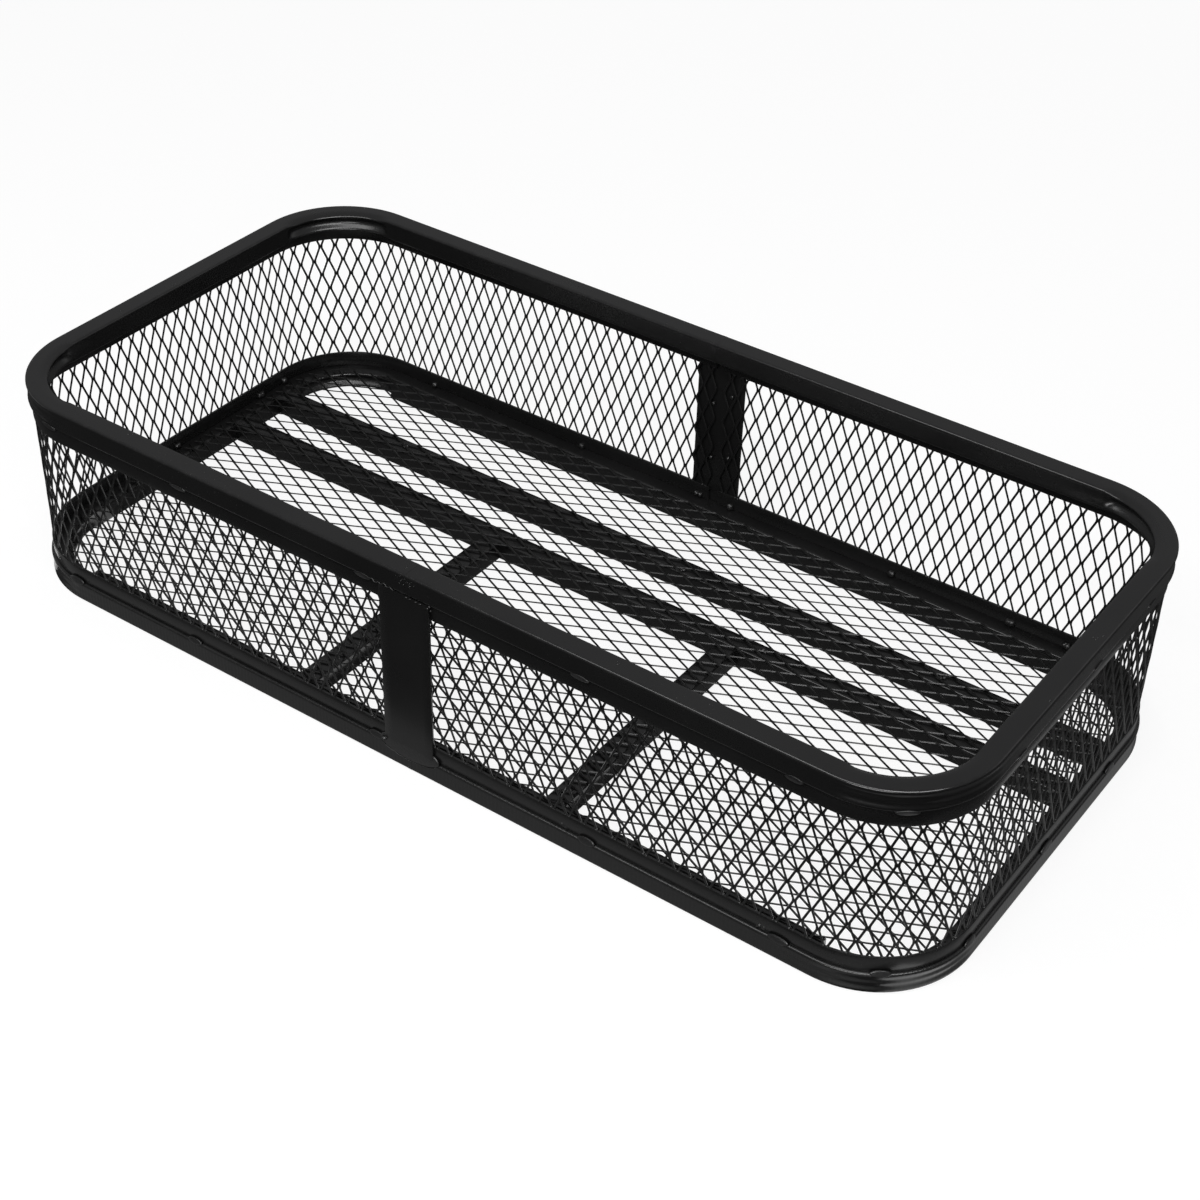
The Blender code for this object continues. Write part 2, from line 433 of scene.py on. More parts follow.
def weld_coat(name, base):
    """The same coat over weld metal, thicker and glossier over the ripples, with painted sheen that
    lightens the raised lumps.
    """
    shader = Shader(name)
    lumps = shader.noise(300.0, 4.0, 0.6)
    pits = shader.noise(1100.0, 2.0)
    # Painted sheen: the base colour lightens where the lumps rise, standing in for the welds'
    # glints.
    tone = shader.mix(lumps, grey(base * 0.8), grey(base * 1.7))
    shader.link(tone, shader.surface.inputs["Base Color"])
    shader.link(shader.ramp(lumps, 0.26, 0.44), shader.surface.inputs["Roughness"])
    normal = shader.bump(lumps, 0.0005, 0.7)
    normal = shader.bump(pits, 0.00015, 0.6, normal)
    shader.link(normal, shader.surface.inputs["Normal"])
    shader.surface.inputs["Specular IOR Level"].default_value = 0.5
    shader.surface.inputs["Coat Weight"].default_value = 0.2
    shader.surface.inputs["Coat Roughness"].default_value = 0.2
    return shader.material


# --- pieces ---------------------------------------------------------------------------


def dented(across, up, amount):
    """Section point of the tube after the bend's deformation. across runs inward."""
    centred = up - TUBE / 2.0
    groove = math.cos(math.pi * centred / TUBE) ** 2
    inner = smooth((across - TUBE * (1.0 - INNER_PART)) / (TUBE * INNER_PART))
    outer = smooth((TUBE * OUTER_PART - across) / (TUBE * OUTER_PART))
    ripple = OUTER_CREASE * groove * math.cos(CREASES * 2.0 * math.pi * centred / TUBE)
    dent = groove * (OUTER_DENT * outer - INNER_DENT * inner) - ripple * outer
    moved = across + amount * dent
    sink = INNER_PINCH * amount * inner * inner * (centred / (TUBE / 2.0))
    return moved, up - sink


def ring_rails(material):
    """Upper and lower ring, each as two halves of bent square tube."""
    section = rounded_section(TUBE, TUBE, TUBE_EDGE, EDGE_STEPS, FACE_STEPS)
    edges = [edge for _, _, edge in section]
    for level, base, coat in (("top", TOP_RAIL_Z, material[0]), ("bottom", 0.0, material[1])):
        for label, side in (("left", -1), ("right", 1)):
            distances = half_stations(RAIL_END)
            rings = []
            for distance in distances:
                point, outward = outline(side, distance, 0.0)
                amount = bend_amount(distance)
                ring = []
                for across, up, _ in section:
                    inward, height = dented(across, up, amount)
                    ring.append(point - outward * inward + Vector((0.0, 0.0, base + height)))
                rings.append(ring)
            item = loft(f"{level}_rail_{label}_formed", rings, edges, distances)
            finish_piece(item, coat, "tube_powder_coat", f"{level}_rail_{label}")


def bands(material):
    """Flat bands under the upper ring and on the lower ring."""
    height = band_high.z - band_low.z
    section = rounded_section(BAR_THICKNESS, height, BAR_EDGE, 2, 2)
    edges = [edge for _, _, edge in section]
    for level, base in (("top", top_band_low.z), ("bottom", band_low.z)):
        for label, side in (("left", -1), ("right", 1)):
            distances = half_stations(BAND_END)
            rings = []
            for distance in distances:
                point, outward = outline(side, distance, 0.0)
                ring = []
                for across, up, _ in section:
                    offset = outward * (-BAND_INSET - across)
                    ring.append(point + offset + Vector((0.0, 0.0, base + up)))
                rings.append(ring)
            item = loft(f"{level}_band_{label}_formed", rings, edges, distances)
            finish_piece(item, material, "bar_powder_coat", f"{level}_band_{label}")


def straight_bar(name, start, end, across, up, section, material, slot_name):
    """Bar or tube between two points. section lies along the across and up directions."""
    edges = [edge for _, _, edge in section]
    steps = max(2, math.ceil((end - start).length / STRAIGHT_STEP))
    rings = []
    along = []
    for step in range(steps + 1):
        origin = start.lerp(end, step / steps)
        rings.append([origin + across * right + up * high for right, high, _ in section])
        along.append((origin - start).length)
    item = loft(f"{name}_formed", rings, edges, along)
    finish_piece(item, material, slot_name, name)
    return item


def floor_frame(tube_material, bar_material):
    """Lengthwise tubes, cross tubes and the strips beside the long rails."""
    upward = Vector((0.0, 0.0, 1.0))
    tube_section = rounded_section(TUBE, TUBE, TUBE_EDGE, EDGE_STEPS, 2)
    strip_section = rounded_section(STRIP_THICKNESS, TUBE, BAR_EDGE, 2, 2)
    lengthwise = ("floor_tube_rear", "floor_tube_front", "floor_strip_front", "floor_strip_back")
    for name in lengthwise:
        low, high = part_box(name)
        start = Vector((low.x, low.y, low.z))
        end = Vector((high.x, low.y, low.z))
        is_tube = name.startswith("floor_tube")
        straight_bar(
            name,
            start,
            end,
            Vector((0.0, 1.0, 0.0)),
            upward,
            tube_section if is_tube else strip_section,
            tube_material if is_tube else bar_material,
            "tube_powder_coat" if is_tube else "bar_powder_coat",
        )
    for name in ("cross_tube_left", "cross_tube_right"):
        low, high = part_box(name)
        start = Vector((low.x, low.y, low.z))
        end = Vector((low.x, high.y, low.z))
        across = Vector((1.0, 0.0, 0.0))
        straight_bar(
            name, start, end, across, upward, tube_section, tube_material, "tube_powder_coat"
        )


def uprights(material):
    """Flat bars that join the rings at the middle of the long sides."""
    for name in ("upright_front", "upright_back"):
        low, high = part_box(name)
        section = rounded_section(high.x - low.x, high.y - low.y, BAR_EDGE, 2, 6)
        start = Vector((low.x, low.y, low.z))
        end = Vector((low.x, low.y, high.z))
        across = Vector((1.0, 0.0, 0.0))
        up = Vector((0.0, 1.0, 0.0))
        straight_bar(name, start, end, across, up, section, material, "bar_powder_coat")


def strand_rise(phase, flat):
    """Height of a strand between its two rows of bonds, 0 to 1, at a phase in half diamonds."""
    phase = phase % 2.0
    if phase > 1.0:
        phase = 2.0 - phase
    return min(max((phase - flat) / (1.0 - 2.0 * flat), 0.0), 1.0)


def expanded_metal(name, place, sheet, rows, first_v, row_pitch, first_bond, limits):
    """Sheet of expanded metal.

    place(u, v, n) gives the point at u the long way, v the short way and n off the sheet.
    Strand row i runs between the bond rows at first_v + i * row_pitch and the next one, and
    limits(v) gives its lowest and highest u. first_bond is the u of a bond in row 0.
    """
    cos_tilt, sin_tilt = math.cos(sheet["tilt"]), math.sin(sheet["tilt"])
    half_pitch = sheet["long_pitch"] / 2.0
    flat = sheet["bond"] / sheet["long_pitch"]
    half_width, half_thickness = sheet["width"] / 2.0, sheet["thickness"] / 2.0
    travel = row_pitch - sheet["width"] * cos_tilt
    corners = []
    for wide, thick in sheet["section"]:
        corners.append((
            wide * half_width * cos_tilt - thick * half_thickness * sin_tilt,
            wide * half_width * sin_tilt + thick * half_thickness * cos_tilt,
        ))
    count = len(corners)
    points = []
    faces = []
    for row in range(rows):
        low_v = first_v + row * row_pitch
        low_u, high_u = limits(low_v + row_pitch / 2.0)
        bond = first_bond + (row % 2) * half_pitch
        first = math.floor((low_u - bond) / half_pitch)
        last = math.ceil((high_u - bond) / half_pitch)
        inside = [low_u]
        for half in range(first, last + 1):
            for stop in (flat, 1.0 - flat):
                u = bond + (half + stop) * half_pitch
                if low_u + SHORTEST_STRAND < u < high_u - SHORTEST_STRAND:
                    inside.append(u)
        inside.append(high_u)
        start = len(points)
        for u in inside:
            rise = strand_rise((u - bond) / half_pitch, flat)
            v = low_v + half_width * cos_tilt + rise * travel
            n = half_width * sin_tilt * (1.0 - 2.0 * rise)
            n += RIPPLE * noise.noise(Vector((u, v, 0.0)) * RIPPLES_PER_METRE + RIPPLE_PLANE)
            for side_v, side_n in corners:
                points.append(place(u, v + side_v, n + side_n))
        for station in range(len(inside) - 1):
            base = start + station * count
            for here in range(count):
                after = (here + 1) % count
                faces.append((base + here, base + after, base + count + after, base + count + here))
        last_ring = start + (len(inside) - 1) * count
        faces.append(tuple(start + here for here in reversed(range(count))))
        faces.append(tuple(last_ring + here for here in range(count)))
    return new_piece(name, points, faces)


def wall_meshes(material, weld_material):
    """Left and right wall sheets, bent round the ends, with a weld dot at each strand's ends."""
    end = wall_low.x
    low_z, high_z = band_high.z, top_band_low.z
    run = half_length(WALL_MESH_INSET) - 2.0 * end
    rows = round(run / (SHORT_PITCH / 2.0))
    for label, side in (("left", -1), ("right", 1)):

        def place(u, v, n, side=side):
            point, outward = outline(side, v, WALL_MESH_INSET)
            return point + outward * n + Vector((0.0, 0.0, u))

        name = f"wall_mesh_{label}"
        item = expanded_metal(
            f"{name}_expanded",
            place,
            WALL_SHEET,
            rows,
            end,
            run / rows,
            WALL_BOND_Z,
            lambda v: (low_z, high_z),
        )
        finish_piece(item, material, "mesh_powder_coat", name)
        dots = []
        for row in range(rows):
            bond = WALL_BOND_Z + (row % 2) * WALL_SHEET["long_pitch"] / 2.0
            for height in (low_z, high_z):
                phase = (height - bond) / (WALL_SHEET["long_pitch"] / 2.0)
                across = strand_rise(phase, WALL_SHEET["bond"] / WALL_SHEET["long_pitch"])
                centre = place(height, end + (row + 0.15 + 0.7 * across) * run / rows, 0.0)
                size = random.uniform(0.0011, 0.0018)
                axes = (Vector((size, 0, 0)), Vector((0, size, 0)), Vector((0, 0, size * 0.8)))
                dots.append(lump(centre, axes, 0.3, 7, 5))
        welds = joined(f"{name}_weld_dots", dots)
        finish_piece(welds, weld_material, "mesh_powder_coat")


def floor_mesh(material):
    """Floor sheet with its corners cut round."""
    reach_x = floor_high.x - STRAIGHT_X
    reach_y = floor_high.y - STRAIGHT_Y
    depth = FLOOR_SHEET["width"] * abs(math.sin(FLOOR_SHEET["tilt"]))
    depth += FLOOR_SHEET["thickness"] / 2.0
    middle = floor_low.z + depth
    rows = round((floor_high.y - floor_low.y) / (SHORT_PITCH / 2.0))

    def place(u, v, n):
        return Vector((u, v, middle + n))

    def limits(v):
        past = max(abs(v) - STRAIGHT_Y, 0.0) / reach_y
        reach = STRAIGHT_X + reach_x * math.sqrt(max(1.0 - past * past, 0.0))
        return -reach, reach

    item = expanded_metal(
        "floor_mesh_expanded",
        place,
        FLOOR_SHEET,
        rows,
        floor_low.y,
        (floor_high.y - floor_low.y) / rows,
        0.0,
        limits,
    )
    finish_piece(item, material, "mesh_powder_coat", "floor_mesh")


# --- welds ----------------------------------------------------------------------------


def lump(centre, axes, roughness=0.22, sides=10, rings=7):
    """Points and faces of a rough closed lump with three half axes."""
    points = [centre - axes[2]]
    for ring in range(1, rings):
        polar = math.pi * ring / rings
        for side in range(sides):
            around = 2.0 * math.pi * side / sides
            flat = axes[0] * math.cos(around) + axes[1] * math.sin(around)
            reach = flat * math.sin(polar) - axes[2] * math.cos(polar)
            swell = 1.0 + roughness * noise.noise((centre + reach) * 500.0)
            points.append(centre + reach * swell)
    points.append(centre + axes[2])
    top = len(points) - 1
    faces = []
    for here in range(sides):
        after = (here + 1) % sides
        faces.append((0, 1 + after, 1 + here))
        for ring in range(rings - 2):
            low, high = 1 + ring * sides, 1 + (ring + 1) * sides
            faces.append((low + here, low + after, high + after, high + here))
        last = 1 + (rings - 2) * sides
        faces.append((last + here, last + after, top))
    return points, faces


def bead(path, radius, sides=7):
    """Points and faces of a thin rope of weld metal along a path, thin at both ends."""
    points = []
    count = len(path)
    for index, centre in enumerate(path):
        ahead = path[min(index + 1, count - 1)] - path[max(index - 1, 0)]
        tangent = ahead.normalized()
        across = tangent.orthogonal().normalized()
        over = tangent.cross(across)
        taper = math.sin(math.pi * (index + 0.6) / (count + 0.2)) ** 0.5
        swell = 1.0 + 0.35 * noise.noise(centre * 900.0)
        for side in range(sides):
            around = 2.0 * math.pi * side / sides
            reach = across * math.cos(around) + over * math.sin(around)
            points.append(centre + reach * radius * taper * swell)
    faces = [tuple(reversed(range(sides))), tuple(range((count - 1) * sides, count * sides))]
    for index in range(count - 1):
        low, high = index * sides, (index + 1) * sides
        for here in range(sides):
            after = (here + 1) % sides
            faces.append((low + here, low + after, high + after, high + here))
    return points, faces


def on_outline(side, distance, height, inset):
    """Point beside the outline: inset from its outer edge, at a height."""
    point, outward = outline(side, distance, 0.0)
    return point - outward * inset + Vector((0.0, 0.0, height))


def pad(side, distance, height, length, tall, inset_above, inset_below, sides=28):
    """Points and faces of a lens of dressed weld metal on the outside of the rings.

    It leans from inset_above at its upper rim to inset_below at its lower rim.
    """
    levels = ((1.0, -PAD_ROOT), (1.0, 0.0), (0.93, 0.55), (0.78, 0.85), (0.5, 1.0), (0.22, 1.0))
    points = []
    for scale, lift in levels:
        for step in range(sides):
            angle = 2.0 * math.pi * step / sides
            along = length / 2.0 * scale * math.cos(angle)
            up = tall / 2.0 * scale * math.sin(angle)
            part = 0.5 - up / tall
            inset = inset_above + (inset_below - inset_above) * part
            place = on_outline(side, distance + along, height + up, 0.0)
            lumpy = WELD_LUMPS * noise.noise(place * 420.0)
            rise = lift if lift < 0.0 else lift * WELD_PROUD + lumpy * scale
            points.append(on_outline(side, distance + along, height + up, inset - rise))
    crown = (inset_above + inset_below) / 2.0 - WELD_PROUD
    points.append(on_outline(side, distance, height, crown))
    centre = len(points) - 1
    faces = [tuple(reversed(range(sides)))]
    for here in range(sides):
        after = (here + 1) % sides
        for level in range(len(levels) - 1):
            low, high = level * sides, (level + 1) * sides
            faces.append((low + here, low + after, high + after, high + here))
        last = (len(levels) - 1) * sides
        faces.append((last + here, last + after, centre))
    return points, faces


def pad_rim(side, distance, height, length, tall, inset, first, last, radius):
    """Thin bead along part of a pad's rim, from one angle to another in degrees."""
    path = []
    for step in range(15):
        angle = math.radians(first + (last - first) * step / 14.0)
        along = distance + length / 2.0 * math.cos(angle)
        path.append(on_outline(side, along, height + tall / 2.0 * math.sin(angle), inset))
    return bead(path, radius)


def joined(name, shapes):
    """Piece made of several closed shapes."""
    points = []
    faces = []
    for shape_points, shape_faces in shapes:
        start = len(points)
        points.extend(shape_points)
        faces.extend(tuple(start + corner for corner in face) for face in shape_faces)
    item = new_piece(name, points, faces)
    item.data.shade_smooth()
    return item


def spot(run, where):
    """Half and distance along the outline of a place on the front, a bend or the right end."""
    bend = math.pi / 2.0 * BEND_RADIUS
    if run == "front" and where < 0.0:
        return -1, half_length(0.0) + where
    if run == "front":
        return 1, where
    if run == "bend":
        return 1, STRAIGHT_X + bend * where
    return 1, STRAIGHT_X + bend + STRAIGHT_Y + where


# The run that a weld is on, and how far along it, as spot() reads them.
TOP_SEAM_WELDS = (
    ("front", -0.508), ("front", -0.311), ("front", -0.054), ("front", 0.218), ("front", 0.458),
    ("bend", 0.41), ("end", -0.138), ("end", 0.024), ("end", 0.150),
)
BOTTOM_SEAM_WELDS = (
    ("front", -0.499), ("front", -0.311), ("front", -0.045), ("front", 0.230), ("front", 0.458),
    ("bend", 0.39), ("bend", 0.98), ("end", -0.020), ("end", 0.130),
)


def seam_welds(material):
    """Short welds between each ring and its band. The far sides repeat the near sides."""
    band_face = BAND_INSET - PAD_ROOT
    rail_face = -SKIN
    for level, seam, spots in (
        ("top", TOP_RAIL_Z, TOP_SEAM_WELDS),
        ("bottom", TUBE, BOTTOM_SEAM_WELDS),
    ):
        lean = (rail_face, band_face) if level == "top" else (band_face, rail_face)
        height = seam - SEAM_SHIFT if level == "top" else seam + SEAM_SHIFT
        shapes = []
        for run, where in spots:
            near_side, distance = spot(run, where)
            for side in (near_side, -near_side):
                length = SEAM_WELD_LENGTH * random.uniform(0.9, 1.15)
                tall = SEAM_WELD_HEIGHT * random.uniform(0.9, 1.1)
                shapes.append(pad(side, distance, height, length, tall, *lean))
                first = random.uniform(10.0, 60.0)
                last = random.uniform(130.0, 175.0)
                rim = lean[0] - SKIN
                radius = random.uniform(0.0005, 0.0008)
                size = (length, tall)
                shapes.append(pad_rim(side, distance, height, *size, rim, first, last, radius))
        item = joined(f"{level}_seam_welds", shapes)
        finish_piece(item, material, "tube_powder_coat")


def butt_welds(material):
    """Dressed welds that join the two halves of each ring at the middle of the long sides."""
    grow, half = BUTT_PROUD, BUTT_HALF_WIDTH
    section = rounded_section(TUBE + 2 * grow, TUBE + 2 * grow, TUBE_EDGE + grow, EDGE_STEPS, 2)
    edges = [edge for _, _, edge in section]
    for level, base in (("top", TOP_RAIL_Z), ("bottom", 0.0)):
        for label, side in (("front", -1), ("back", 1)):
            rings = []
            for x in (-half, half):
                ring = []
                for across, up, _ in section:
                    y = side * (HALF_WIDTH + grow - across)
                    ring.append(Vector((x, y, base + up - grow)))
                rings.append(ring)
            item = loft(f"{level}_butt_weld_{label}", rings, edges, (0.0, 2.0 * half))
            finish_piece(item, material, "tube_powder_coat")


# Distances from an upright's middle, and heights from the underside of the upper ring.
HEAD_SPATTER = (0.004, 0.009, 0.017, 0.022)
HEAD_CORNER = ((0.0310, -0.0030), (0.0335, -0.0005), (0.0355, -0.0040))
# Tacks that hold the mesh to an upright, as x and z.
MESH_TACKS = ((-0.007, 0.166), (0.018, 0.184), (-0.006, 0.089), (0.018, 0.097))


def upright_welds(material):
    """Dressed welds at the head and foot of the uprights, and tacks that hold the mesh."""
    half_turn = half_length(0.0)
    foot = (half_turn, TUBE + 0.002, *FOOT_PAD)
    first, last = HEAD_BEAD
    shapes = []
    for side in (-1, 1):
        shapes.append(pad(side, *foot, 0.0012, -SKIN))
        shapes.append(pad_rim(side, *foot, -0.0004, 205.0, 335.0, 0.0006))
        head = []
        for step in range(26):
            along = first + (last - first) * step / 25.0
            drop = 0.0012 * math.sin(step * 1.3) + 0.0008 * math.sin(step * 0.5)
            head.append(on_outline(side, half_turn + along, TOP_RAIL_Z + 0.001 + drop, 0.0001))
        shapes.append(bead(head, 0.0008))
        for along in HEAD_SPATTER:
            centre = on_outline(-side, along, TOP_RAIL_Z - 0.001, -0.0001)
            shapes.append(lump(centre, round_axes(0.0016, 0.0005), 0.5))
        corner = on_outline(side, half_turn - 0.0335, TUBE + 0.002, 0.0004)
        shapes.append(lump(corner, round_axes(0.0032, 0.0024), 0.5))
        for along, height in HEAD_CORNER:
            corner = on_outline(-side, along, TOP_RAIL_Z + height, 0.0008)
            shapes.append(lump(corner, round_axes(0.0013, 0.0011), 0.5))
    inner = WALL_MESH_INSET + 0.0010
    for side in (-1, 1):
        for across, height in MESH_TACKS:
            centre = Vector((across, side * (HALF_WIDTH - inner), height))
            shapes.append(lump(centre, round_axes(0.0024, 0.0026), 0.4))
    item = joined("upright_welds", shapes)
    finish_piece(item, material, "bar_powder_coat")


def round_axes(across, tall):
    """Half axes of an upright lump."""
    return Vector((across, 0, 0)), Vector((0, across, 0)), Vector((0, 0, tall))


# Places along the back wall and the left wall, and on the floor tubes.
INNER_TACKS = (
    ("back", -0.437), ("back", -0.199), ("back", -0.020), ("back", 0.023), ("back", 0.254),
    ("back", 0.407), ("back", 0.478), ("left", -0.021), ("left", 0.129), ("left", 0.176),
)
FLOOR_TACKS = ((-0.377, 0.155), (0.051, 0.148), (0.394, 0.156), (-0.36, 0.074), (0.21, 0.077))


def inner_tacks(material):
    """Lumps of weld at the foot of the bottom bands, inside, and on top of the floor tubes."""
    inset = BAND_INSET + BAR_THICKNESS + 0.0006
    shapes = []
    for wall, where in INNER_TACKS:
        for turn in (1, -1):
            if wall == "back":
                centre = Vector((where, HALF_WIDTH - inset, 0.0)) * turn
                long_way = Vector((1.0, 0.0, 0.0))
            else:
                centre = Vector((inset - HALF_LENGTH, where, 0.0)) * turn
                long_way = Vector((0.0, 1.0, 0.0))
            centre.z = TUBE + 0.0040
            for _ in range(3):
                shift = long_way * random.uniform(-0.004, 0.004)
                size = random.uniform(0.0027, 0.0046)
                shapes.append(lump(centre + shift, round_axes(size, size * 1.1), 0.45))
    for x, y in FLOOR_TACKS:
        for _ in range(2):
            shift = Vector((random.uniform(-0.003, 0.003), random.uniform(-0.002, 0.002), 0.0))
            centre = Vector((x, y, TUBE + 0.0012)) + shift
            size = random.uniform(0.0016, 0.0028)
            shapes.append(lump(centre, round_axes(size, size * 0.8), 0.45))
    item = joined("inner_tack_welds", shapes)
    finish_piece(item, material, "tube_powder_coat")


RAIL_TOP_SPATTER = (
    (-0.593, -0.095), (-0.590, -0.010), (-0.601, 0.051), (-0.394, -0.279), (0.605, -0.084),
    (0.598, 0.030), (0.601, 0.036), (-0.004, -0.284), (0.250, -0.280),
)
FACE_SPECKS = 46               # specks beside the two upper butt welds


def rail_spatter(material):
    """Specks of weld spatter caught under the coat on top of the upper ring and by the welds."""
    shapes = []
    for x, y in RAIL_TOP_SPATTER:
        for _ in range(3):
            shift = Vector((random.uniform(-0.003, 0.003), random.uniform(-0.003, 0.003), 0.0))
            size = random.uniform(0.0005, 0.0013)
            centre = Vector((x, y, HEIGHT)) + shift
            shapes.append(lump(centre, round_axes(size, size * 0.35), 0.5, 8, 5))
    for _ in range(FACE_SPECKS):
        turn = random.choice((-1, 1))
        x = random.gauss(0.006, 0.009)
        height = TOP_RAIL_Z + 0.017 + random.gauss(0.0, 0.0032)
        size = random.uniform(0.0003, 0.0008)
        centre = Vector((turn * x, -turn * (HALF_WIDTH + 0.0001), height))
        shapes.append(lump(centre, round_axes(size, size), 0.5, 6, 5))
    item = joined("weld_spatter", shapes)
    finish_piece(item, material, "tube_powder_coat")


# --- studio ---------------------------------------------------------------------------

AIM = Vector((0.0895, -0.0635, 0.1302))
AZIMUTH = math.radians(34.30)
ELEVATION = math.radians(37.115)
ROLL = math.radians(1.825)
DISTANCE = 2.361
LENS = 65.57
SHIFT = (-0.0065, -0.0014)

GROUND_GREY = 0.055            # surroundings below the horizon
OVERHEAD_GREY = 0.34
FLOOR_GLOW = 0.86
CARD_CLEARANCE = 0.002         # a surface nearer than this sees a card as plain ground
CARD_SPLIT_Y = -0.15           # the floor in front of this line is the bright part
SEAM_INSET = 0.02
CROSS_TUBE_GAP = 0.02
NEAR_REACH = 0.060             # how far the cards outside the rings reach
END_REACH = 0.05
FAR_REACH = 0.40

# Name, place, target, width, height, power and whether matt surfaces are lit as well.
LIGHTS = (
    ("key", (0.30, -1.45, 2.3), (0.30, 0.0, 0.1), 2.7, 0.9, 36.0, True),
    ("low_front", (1.0, -2.3, 0.72), (0.1, 0.0, 0.0), 1.3, 0.6, 22.0, False),
    ("right", (1.8, -1.03, 2.0), (0.5, 0.0, 0.2), 1.6, 0.9, 36.0, False),
    ("low_back", (-0.9, 2.7, 0.12), (0.0, 0.0, 0.02), 2.4, 0.5, 2.4, False),
    ("low_left", (-2.8, -1.1, 0.10), (0.0, 0.0, 0.02), 1.6, 0.5, 2.0, False),
    ("back", (2.3, 2.4, 2.2), (0.0, 0.0, 0.1), 1.8, 1.0, 3.0, True),
)


def add_camera():
    """Camera at the picture's viewing angle."""
    data = bpy.data.cameras.new("camera")
    data.lens = LENS
    data.sensor_width = 36.0
    data.shift_x, data.shift_y = SHIFT
    data.clip_start = 0.05
    data.clip_end = 100.0
    item = bpy.data.objects.new("camera", data)
    bpy.context.scene.collection.objects.link(item)
    back = Vector((
        math.sin(AZIMUTH) * math.cos(ELEVATION),
        -math.cos(AZIMUTH) * math.cos(ELEVATION),
        math.sin(ELEVATION),
    ))
    item.location = AIM + back * DISTANCE
    item.rotation_mode = "QUATERNION"
    item.rotation_quaternion = back.to_track_quat("Z", "Y") @ Quaternion((0.0, 0.0, 1.0), ROLL)
    bpy.context.scene.camera = item


def add_area_light(name, place, target, width, height, power, lights_matt):
    """Soft rectangular light that faces a point. Without lights_matt only gloss mirrors it."""
    data = bpy.data.lights.new(name, "AREA")
    data.shape = "RECTANGLE"
    data.size = width
    data.size_y = height
    data.energy = power
    item = bpy.data.objects.new(name, data)
    bpy.context.scene.collection.objects.link(item)
    item.location = place
    item.rotation_mode = "QUATERNION"
    item.rotation_quaternion = (Vector(target) - Vector(place)).to_track_quat("-Z", "Y")
    item.visible_diffuse = lights_matt


def add_world():
    """Studio surroundings: pale overhead, dim towards the ground, and a pale backdrop."""
    world = bpy.data.worlds.new("studio")
    bpy.context.scene.world = world
    world.use_nodes = True
    tree = world.node_tree
    surroundings = tree.nodes["Background"]
    place = tree.nodes.new("ShaderNodeTexCoord")
    split = tree.nodes.new("ShaderNodeSeparateXYZ")
    ramp = tree.nodes.new("ShaderNodeValToRGB")
    span = tree.nodes.new("ShaderNodeMapRange")
    span.inputs["From Min"].default_value = -1.0
    span.inputs["From Max"].default_value = 1.0
    tree.links.new(place.outputs["Generated"], split.inputs["Vector"])
    tree.links.new(split.outputs["Z"], span.inputs["Value"])
    tree.links.new(span.outputs["Result"], ramp.inputs["Fac"])
    ramp.color_ramp.elements[0].position = 0.35
    ramp.color_ramp.elements[0].color = (GROUND_GREY, GROUND_GREY, GROUND_GREY, 1.0)
    ramp.color_ramp.elements[1].position = 0.85
    ramp.color_ramp.elements[1].color = (OVERHEAD_GREY, OVERHEAD_GREY, 0.345, 1.0)
    tree.links.new(ramp.outputs["Color"], surroundings.inputs["Color"])
    backdrop = tree.nodes.new("ShaderNodeBackground")
    backdrop.inputs["Color"].default_value = (0.96, 0.96, 0.96, 1.0)
    path = tree.nodes.new("ShaderNodeLightPath")
    mix = tree.nodes.new("ShaderNodeMixShader")
    tree.links.new(path.outputs["Is Camera Ray"], mix.inputs["Fac"])
    tree.links.new(surroundings.outputs["Background"], mix.inputs[1])
    tree.links.new(backdrop.outputs["Background"], mix.inputs[2])
    tree.links.new(mix.outputs["Shader"], tree.nodes["World Output"].inputs["Surface"])


def add_plane(name, centre, width, depth, height):
    """Flat stage plane."""
    x, y = width / 2.0, depth / 2.0
    data = bpy.data.meshes.new(name)
    data.from_pydata([(-x, -y, 0.0), (x, -y, 0.0), (x, y, 0.0), (-x, y, 0.0)], [], [(0, 1, 2, 3)])
    item = bpy.data.objects.new(name, data)
    bpy.context.scene.collection.objects.link(item)
    item.location = (centre[0], centre[1], height)
    return item


def add_floor():
    """Pale floor that takes the basket's shadow. It can be seen through from below."""
    shader = Shader("pale_floor")
    shader.surface.inputs["Base Color"].default_value = (0.21, 0.21, 0.21, 1.0)
    shader.surface.inputs["Roughness"].default_value = 0.9
    shader.surface.inputs["Emission Color"].default_value = (1.0, 1.0, 1.0, 1.0)
    shader.surface.inputs["Emission Strength"].default_value = FLOOR_GLOW
    below = shader.node("ShaderNodeNewGeometry").outputs["Backfacing"]
    clear = shader.node("ShaderNodeBsdfTransparent")
    mix = shader.node("ShaderNodeMixShader")
    shader.link(below, mix.inputs["Fac"])
    shader.link(shader.surface.outputs["BSDF"], mix.inputs[1])
    shader.link(clear.outputs["BSDF"], mix.inputs[2])
    shader.link(mix.outputs["Shader"], shader.tree.nodes["Material Output"].inputs["Surface"])
    item = add_plane("floor", (0.0, 0.0), 60.0, 60.0, -0.0005)
    item.data.materials.append(shader.material)
    item.visible_glossy = False
    item.visible_diffuse = False


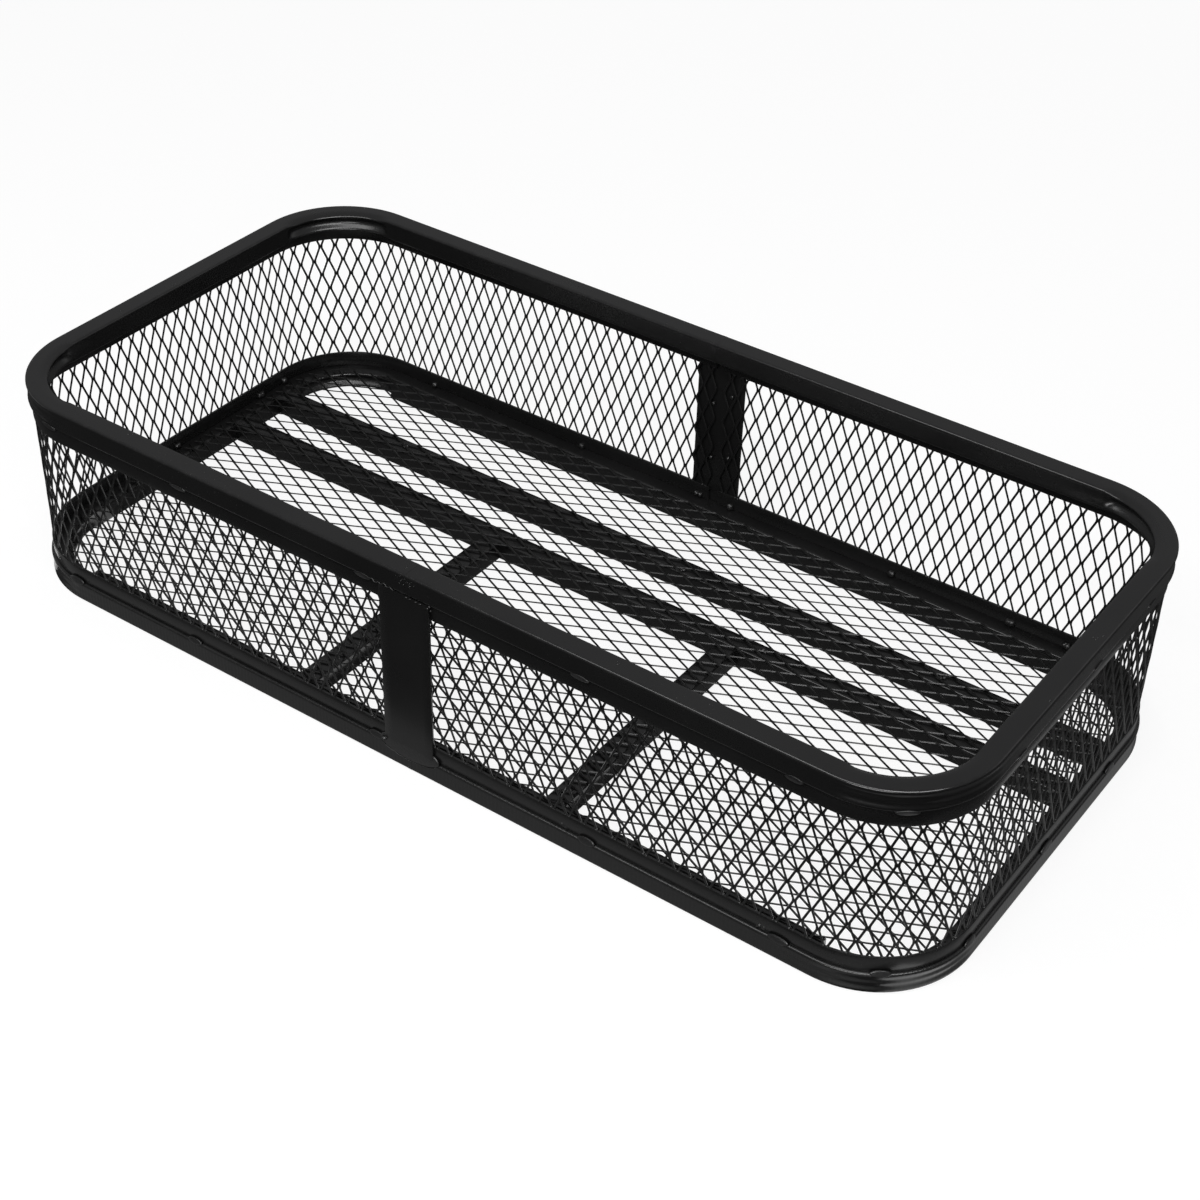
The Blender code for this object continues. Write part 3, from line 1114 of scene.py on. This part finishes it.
def add_card(name, low, high, brightness):
    """Bright part of the floor, from one corner to the other, that only gloss sees.

    Undersides that rest on the floor are too close to see its full brightness.
    """
    shader = Shader(name)
    shader.surface.inputs["Base Color"].default_value = (0.0, 0.0, 0.0, 1.0)
    shader.surface.inputs["Emission Color"].default_value = (1.0, 1.0, 1.0, 1.0)
    ray_length = shader.node("ShaderNodeLightPath").outputs["Ray Length"]
    clear = shader.math("GREATER_THAN", ray_length, CARD_CLEARANCE)
    strength = shader.ramp(clear, GROUND_GREY, brightness)
    shader.link(strength, shader.surface.inputs["Emission Strength"])
    centre = ((low[0] + high[0]) / 2.0, (low[1] + high[1]) / 2.0)
    item = add_plane(name, centre, high[0] - low[0], high[1] - low[1], -0.0003)
    item.data.materials.append(shader.material)
    item.visible_camera = False
    item.visible_diffuse = False
    item.visible_shadow = False


def floor_cards():
    """Cards under the basket and round it, which the rings' sides and edges mirror."""
    length, width = HALF_LENGTH, HALF_WIDTH
    end, far = length + END_REACH, length + FAR_REACH
    front, back = -width - NEAR_REACH, width + NEAR_REACH
    add_card("under_card", (-length, CARD_SPLIT_Y), (length, width), 0.10)
    left_tube, right_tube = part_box("cross_tube_left")[1].x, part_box("cross_tube_right")[1].x
    for first, last in (
        (-length, left_tube),
        (left_tube + CROSS_TUBE_GAP, right_tube),
        (right_tube + CROSS_TUBE_GAP, length),
    ):
        add_card("seam_card", (first, SEAM_INSET - width), (last, CARD_SPLIT_Y), 1.3)
    add_card("front_card", (-length, front), (length, -width), 0.24)
    add_card("back_card", (-length, width), (length, back), 0.24)
    add_card("right_card", (length, front), (end, back), 0.30)
    add_card("left_card", (-end, front), (-length, back), 0.30)
    add_card("right_far_card", (end, -width), (far, width + FAR_REACH), 0.06)


def studio():
    """Surroundings, floor, camera, lights and cards."""
    add_world()
    add_floor()
    add_camera()
    for light in LIGHTS:
        add_area_light(*light)
    floor_cards()


def main():
    tube_coat = powder_coat("tube_powder_coat_satin", 0.0095, 0.20, 0.30)
    lower_coat = powder_coat("tube_powder_coat_brushed", 0.0100, 0.26, 0.38, 0.55)
    bar_coat = powder_coat("bar_powder_coat_satin", 0.0090, 0.24, 0.36)
    mesh_coat = powder_coat("mesh_powder_coat_satin", 0.0085, 0.28, 0.42)
    weld_material = weld_coat("weld_powder_coat", 0.0105)
    ring_rails((tube_coat, lower_coat))
    bands(bar_coat)
    uprights(bar_coat)
    wall_meshes(mesh_coat, weld_material)
    floor_mesh(mesh_coat)
    floor_frame(tube_coat, bar_coat)
    seam_welds(weld_material)
    butt_welds(tube_coat)
    upright_welds(weld_material)
    inner_tacks(weld_material)
    rail_spatter(weld_material)
    studio()


main()
bpy.context.scene.view_settings.view_transform = "Standard"
